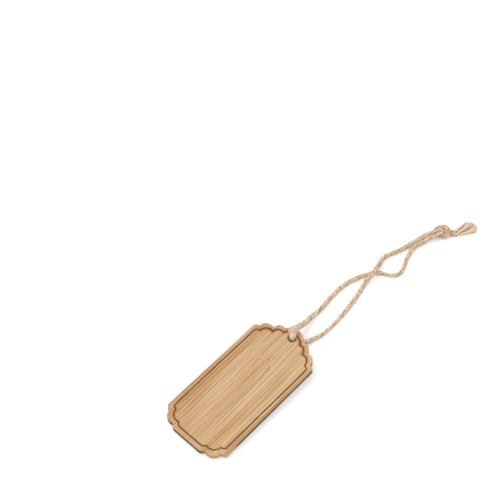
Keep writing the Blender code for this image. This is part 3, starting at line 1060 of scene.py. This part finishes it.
def inside(points, loop):
    """Which points in plan lie within a closed outline."""
    result = np.zeros(len(points), dtype=bool)
    for i, a in enumerate(loop):
        b = loop[i - 1]
        if a.y == b.y:
            continue
        crosses = (a.y > points[:, 1]) != (b.y > points[:, 1])
        place = (b.x - a.x) * (points[:, 1] - a.y) / (b.y - a.y) + a.x
        result ^= crosses & (points[:, 0] < place)
    return result


def sheet_of(loops, outline, hole, spacing):
    """Points and triangles that fill the outline outside the hole, with the loops' edges in."""
    points = [p for loop in loops for p in loop]
    edges = []
    base = 0
    for loop in loops:
        edges += [(base + i, base + (i + 1) % len(loop)) for i in range(len(loop))]
        base += len(loop)
    tree = KDTree(len(points))
    for i, point in enumerate(points):
        tree.insert((point.x, point.y, 0), i)
    tree.balance()
    columns = int(BOARD_LENGTH / spacing)
    rows = int(BOARD_WIDTH / spacing)
    for i in range(columns):
        for k in range(rows):
            x = (i + 0.5 * (k % 2) + 0.25) * spacing
            y = (k + 0.5) * spacing - BOARD_WIDTH / 2
            if tree.find((x, y, 0))[2] > RING_CLEARANCE * spacing:
                points.append(Vector((x, y)))
    made = delaunay_2d_cdt(points, edges, [], TRIANGLES_ONLY, MERGE_DISTANCE)
    flat = np.array([tuple(p) for p in made[0]])
    faces = np.array(made[2])
    centres = flat[faces].mean(axis=1)
    kept = inside(centres, outline) & ~inside(centres, hole)
    return flat, faces[kept]


def make_board(material):
    """The board: a face with its burnt line sunk in, softened edges, sawn walls, hole and back."""
    outline = divided(board_outline(), EDGE_SPACING)
    line = divided(burnt_outline(board_outline()), EDGE_SPACING)
    hole = circle(HOLE_DIAMETER / 2)
    rims = [offset(outline, -EDGE_SOFTNESS * share) for share in EDGE_RINGS]
    rims += [circle(HOLE_DIAMETER / 2 + EDGE_SOFTNESS * share) for share in EDGE_RINGS]
    grooves = [offset(line, LINE_WIDTH / 2 * share) for share in LINE_RINGS]
    shape = bmesh.new()
    face, triangles = sheet_of(rims + grooves, outline, hole, FACE_SPACING)
    drop = softened(face, outline, hole) + sunk(face, line)
    add_sheet(shape, face, BOARD_THICKNESS - drop, triangles)
    back, triangles = sheet_of(rims, outline, hole, BACK_SPACING)
    add_sheet(shape, back, softened(back, outline, hole), triangles[:, ::-1])
    add_wall(shape, outline, 1)
    add_wall(shape, hole, -1)
    bmesh.ops.remove_doubles(shape, verts=shape.verts, dist=WELD_DISTANCE)
    bmesh.ops.recalc_face_normals(shape, faces=shape.faces)
    points = np.array([tuple(v.co) for v in shape.verts])
    faces = [tuple(v.index for v in f.verts) for f in shape.faces]
    shape.free()
    plan = points[:, :2]
    board = new_piece(
        "tag_board_bamboo",
        points,
        faces,
        material,
        plan=points / MM,
        line=distance_to(plan, line) / MM,
        edge=np.minimum(distance_to(plan, outline), distance_to(plan, hole)) / MM,
    )
    board.data.set_sharp_from_angle(angle=SHARP_ANGLE)
    board.matrix_world = board_matrix()
    return board


def softened(plan, outline, hole):
    """How far a face lies below its plane next to the board's edges."""
    edge = np.minimum(distance_to(plan, outline), distance_to(plan, hole))
    share = np.clip(edge / EDGE_SOFTNESS, 0, 1)
    return EDGE_SOFTNESS * (1 - np.sqrt(1 - (1 - share) ** 2))


def sunk(plan, line):
    """How deep the burnt line is at each point of the face."""
    share = np.clip(distance_to(plan, line) / (LINE_WIDTH / 2 * LINE_RINGS[-1]), 0, 1)
    return LINE_DEPTH * (1 - share ** 2)


def add_sheet(shape, plan, height, triangles):
    """Add one face of the board."""
    verts = [shape.verts.new((x, y, z)) for (x, y), z in zip(plan, height)]
    for triangle in triangles:
        shape.faces.new([verts[i] for i in triangle])


def add_wall(shape, loop, way):
    """Add the sawn wall along a closed outline, rippled where the cutting beam stepped."""
    heights = np.linspace(EDGE_SOFTNESS, BOARD_THICKNESS - EDGE_SOFTNESS, WALL_LEVELS)
    rings = []
    for level, height in enumerate(heights):
        bow = math.sin(math.pi * level / (WALL_LEVELS - 1))
        ring = []
        for point, pushed in zip(loop, offset(loop, way)):
            spot = (point.x / SAW_WAVE, point.y / SAW_WAVE, height / MM)
            ripple = SAW_RIPPLE * bow * noise.noise(spot)
            place = point + (pushed - point).normalized() * ripple
            ring.append(shape.verts.new((place.x, place.y, height)))
        rings.append(ring)
    for low, high in zip(rings, rings[1:]):
        for i in range(len(loop)):
            shape.faces.new((low[i - 1], low[i], high[i], high[i - 1]))


def bamboo_material():
    """Sanded bamboo: grain along the board, a node's arches, a burnt line and charred walls."""
    material, tree, shader = new_material("bamboo")
    plan = attribute(tree, "plan").outputs["Vector"]
    line = attribute(tree, "line").outputs["Fac"]
    edge = attribute(tree, "edge").outputs["Fac"]
    wood, relief = wood_grain(tree, grain_coordinates(tree, plan))
    wood = with_node_mark(tree, plan, wood)
    wood = scorched(tree, plan, line, wood)
    wood = with_charred_wall(tree, plan, edge, wood)
    tree.links.new(wood, shader.inputs["Base Color"])
    shader.inputs["Roughness"].default_value = WOOD_ROUGHNESS
    shader.inputs["Specular IOR Level"].default_value = WOOD_SPECULAR
    add_relief(tree, shader, relief, *WOOD_RELIEF)
    return material


def grain_coordinates(tree, plan):
    """Board coordinates that wander a little across the grain, as fibres do."""
    drift = maths(tree, "MULTIPLY", swing_of(tree, plan, GRAIN_DRIFT), GRAIN_SWAY)
    shift = add_node(tree, "ShaderNodeCombineXYZ", {"Y": drift}).outputs[0]
    return add_node(tree, "ShaderNodeVectorMath", {0: plan, 1: shift}).outputs[0]


def wood_grain(tree, grain):
    """The colour and the relief of the culm's strips, streaks and fibres, with the tone darker at
    the far end and paler towards the hole.
    """
    place = add_node(tree, "ShaderNodeSeparateXYZ", {0: grain}).outputs
    from_middle = maths(tree, "SUBTRACT", place["X"], BOARD_LENGTH / MM / 2)
    streaks = maths(tree, "MULTIPLY", swing_of(tree, grain, STREAKS), STREAK_SHARE)
    fibres = maths(tree, "MULTIPLY", swing_of(tree, grain, FIBRES), FIBRE_SHARE)
    rough = maths(tree, "ADD", streaks, fibres)
    tone = maths(tree, "ADD", strip_tone(tree, place["Y"]), rough)
    # Darker at the far end, paler towards the hole
    tone = maths(tree, "ADD", tone, maths(tree, "MULTIPLY", from_middle, PALING))
    wood = mix(tree, span(tree, tone, 0.0, 1.0), colour(*WOOD_DARK), colour(*WOOD_PALE))
    tints = (
        (ORANGE, ORANGE_SHOWN, WOOD_ORANGE),
        (CREAM, CREAM_SHOWN, WOOD_CREAM),
        (DASHES, DASHES_SHOWN, WOOD_DASH),
    )
    for flecks, shown, tint in tints:
        wood = mix(tree, flecks_of(tree, grain, flecks, shown), wood, colour(*tint))
    return wood, rough


def strip_tone(tree, across):
    """The tone of the culm's strips at a place across the board, in millimetres."""
    half = BOARD_WIDTH / MM / 2
    inputs = {"Value": across, "From Min": -half, "From Max": half}
    share = add_node(tree, "ShaderNodeMapRange", inputs).outputs[0]
    node = add_node(tree, "ShaderNodeValToRGB", {0: share})
    ramp = node.color_ramp
    ramp.interpolation = "CARDINAL"
    middle = 0.5
    while len(ramp.elements) < len(STRIP_TONES):
        ramp.elements.new(middle)
    for element, (place, tone) in zip(ramp.elements, STRIP_TONES):
        element.position = (place + half) / (2 * half)
        element.color = colour(tone, tone, tone)
    return node.outputs[0]


def with_node_mark(tree, plan, wood):
    """The wood with the thin lines where its fibres arch round a node of the culm."""
    place = add_node(tree, "ShaderNodeSeparateXYZ", {0: plan}).outputs
    waver = maths(tree, "MULTIPLY", swing_of(tree, plan, NODE_WAVER), NODE_WAVER_REACH)
    patches = flecks_of(tree, plan, NODE_PATCHES, NODE_PATCHES_SHOWN)
    for along, middle, radius, way in NODE_ARCHES:
        across = maths(tree, "SUBTRACT", place["Y"], middle)
        past = maths(tree, "MULTIPLY", maths(tree, "SUBTRACT", place["X"], along), way)
        ahead = maths(tree, "POWER", maths(tree, "MAXIMUM", past, 0.0), NODE_BLUNTNESS)
        aside = maths(tree, "POWER", maths(tree, "ABSOLUTE", across), NODE_BLUNTNESS)
        reach = maths(tree, "POWER", maths(tree, "ADD", ahead, aside), 1 / NODE_BLUNTNESS)
        reach = maths(tree, "ADD", reach, waver)
        pale = (radius + NODE_RIM, span(tree, past, *NODE_RIM_SHOWN), WOOD_CREAM)
        dark = (radius, span(tree, past, -NODE_FADE, 0.0), WOOD_NODE)
        for distance, fade, tint in (pale, dark):
            away = maths(tree, "ABSOLUTE", maths(tree, "SUBTRACT", reach, distance))
            thin = maths(tree, "MULTIPLY", span(tree, away, NODE_LINE, 0.0), patches)
            wood = mix(tree, maths(tree, "MULTIPLY", thin, fade), wood, colour(*tint))
    return wood


def scorched(tree, plan, line, wood):
    """The wood with its burnt line and the brown that smoke has left along it."""
    smoke = flecks_of(tree, plan, SMOKE, SMOKE_SHOWN)
    halo = maths(tree, "MULTIPLY", span(tree, line, *SMOKE_RUN), smoke)
    stains = 0.0
    for along, across, reach, strength in SMOKE_STAINS:
        middle = (along, across, BOARD_THICKNESS / MM)
        near = span(tree, distance_from(tree, plan, middle), reach, 0.0)
        stain = maths(tree, "MULTIPLY", near, span(tree, line, *STAIN_RUN, 0.0, strength))
        stains = maths(tree, "MAXIMUM", stains, stain)
    wood = mix(tree, halo, wood, colour(*SCORCH))
    wood = mix(tree, stains, wood, colour(*STAIN))
    return mix(tree, span(tree, line, *CHAR_LINE_RUN), wood, colour(*CHAR_LINE))


def with_charred_wall(tree, plan, edge, wood):
    """The wood with its sawn walls: charred below the face, paler at the outer wall's foot."""
    height = add_node(tree, "ShaderNodeSeparateXYZ", {0: plan}).outputs["Z"]
    thick = BOARD_THICKNESS / MM
    bore = ((BOARD_LENGTH - HOLE_SETBACK) / MM, 0.0, thick / 2)
    in_bore = span(tree, distance_from(tree, plan, bore), *BORE_RUN)
    charring = maths(tree, "MAXIMUM", span(tree, height, *CHAR_WALL_RUN), in_bore)
    char = mix(tree, charring, colour(*WALL_FOOT), colour(*CHAR_WALL))
    bare = span(tree, distance_from(tree, plan, BARE_CORNER), *BARE_RUN)
    char = mix(tree, bare, char, colour(*WALL_BARE))
    near_top = span(tree, height, *(thick - depth for depth in SKIN_RUN))
    near_face = maths(tree, "MAXIMUM", near_top, span(tree, height, *SKIN_RUN))
    between_faces = maths(tree, "SUBTRACT", 1.0, near_face)
    wall = maths(tree, "MULTIPLY", span(tree, edge, *SKIN_RUN), between_faces)
    return mix(tree, wall, wood, char)


def make_studio():
    """A pale floor, a soft sky and one large lamp."""
    scene = bpy.context.scene
    scene.view_settings.view_transform = "Standard"
    world = bpy.data.worlds.new("sky")
    world.use_nodes = True
    background = world.node_tree.nodes["Background"].inputs
    background["Strength"].default_value = SKY_STRENGTH
    background["Color"].default_value = colour(1, 1, 1)
    scene.world = world
    light = bpy.data.lights.new("lamp", "AREA")
    light.energy = LAMP_POWER
    light.size = LAMP_SIZE
    lamp = bpy.data.objects.new("lamp", light)
    lamp.location = LAMP_PLACE
    lamp.rotation_euler = (-Vector(LAMP_PLACE)).to_track_quat("-Z", "Y").to_euler()
    scene.collection.objects.link(lamp)
    half = FLOOR_SIZE / 2
    corners = [(-half, -half, 0), (half, -half, 0), (half, half, 0), (-half, half, 0)]
    new_piece("floor", corners, [(0, 1, 2, 3)], floor_material())


def floor_material():
    """A pale floor that looks white to the camera and keeps the object's shadow."""
    material, tree, shader = new_material("floor")
    shader.inputs["Base Color"].default_value = colour(*FLOOR_COLOUR)
    shader.inputs["Roughness"].default_value = 1.0
    shader.inputs["Specular IOR Level"].default_value = 0.0
    shader.inputs["Emission Color"].default_value = colour(1, 1, 1)
    rays = add_node(tree, "ShaderNodeLightPath").outputs
    seen = maths(tree, "MAXIMUM", rays["Is Camera Ray"], rays["Is Glossy Ray"])
    seen = maths(tree, "MAXIMUM", seen, rays["Is Transmission Ray"])
    glow = maths(tree, "MULTIPLY", seen, FLOOR_GLOW)
    tree.links.new(glow, shader.inputs["Emission Strength"])
    return material


def main():
    """Set up the studio, make the pieces, hide the imported nodes that they replace, and hang the
    board on the tag's body.
    """
    make_camera()
    make_studio()
    board = make_board(bamboo_material())
    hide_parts("tag_board")
    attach(board, "tag")
    nodes = (
        ("twine_bight", "twine_leg_upper", "twine_knot", "twine_tail_lower"),
        ("twine_bight", "twine_leg_lower", "twine_knot", "twine_tail_upper"),
    )
    for (piece, fuzz, path), replaced in zip(make_twine(jute_material()), nodes):
        for soft in (piece, fuzz):
            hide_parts(*replaced)
            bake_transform(soft)


main()
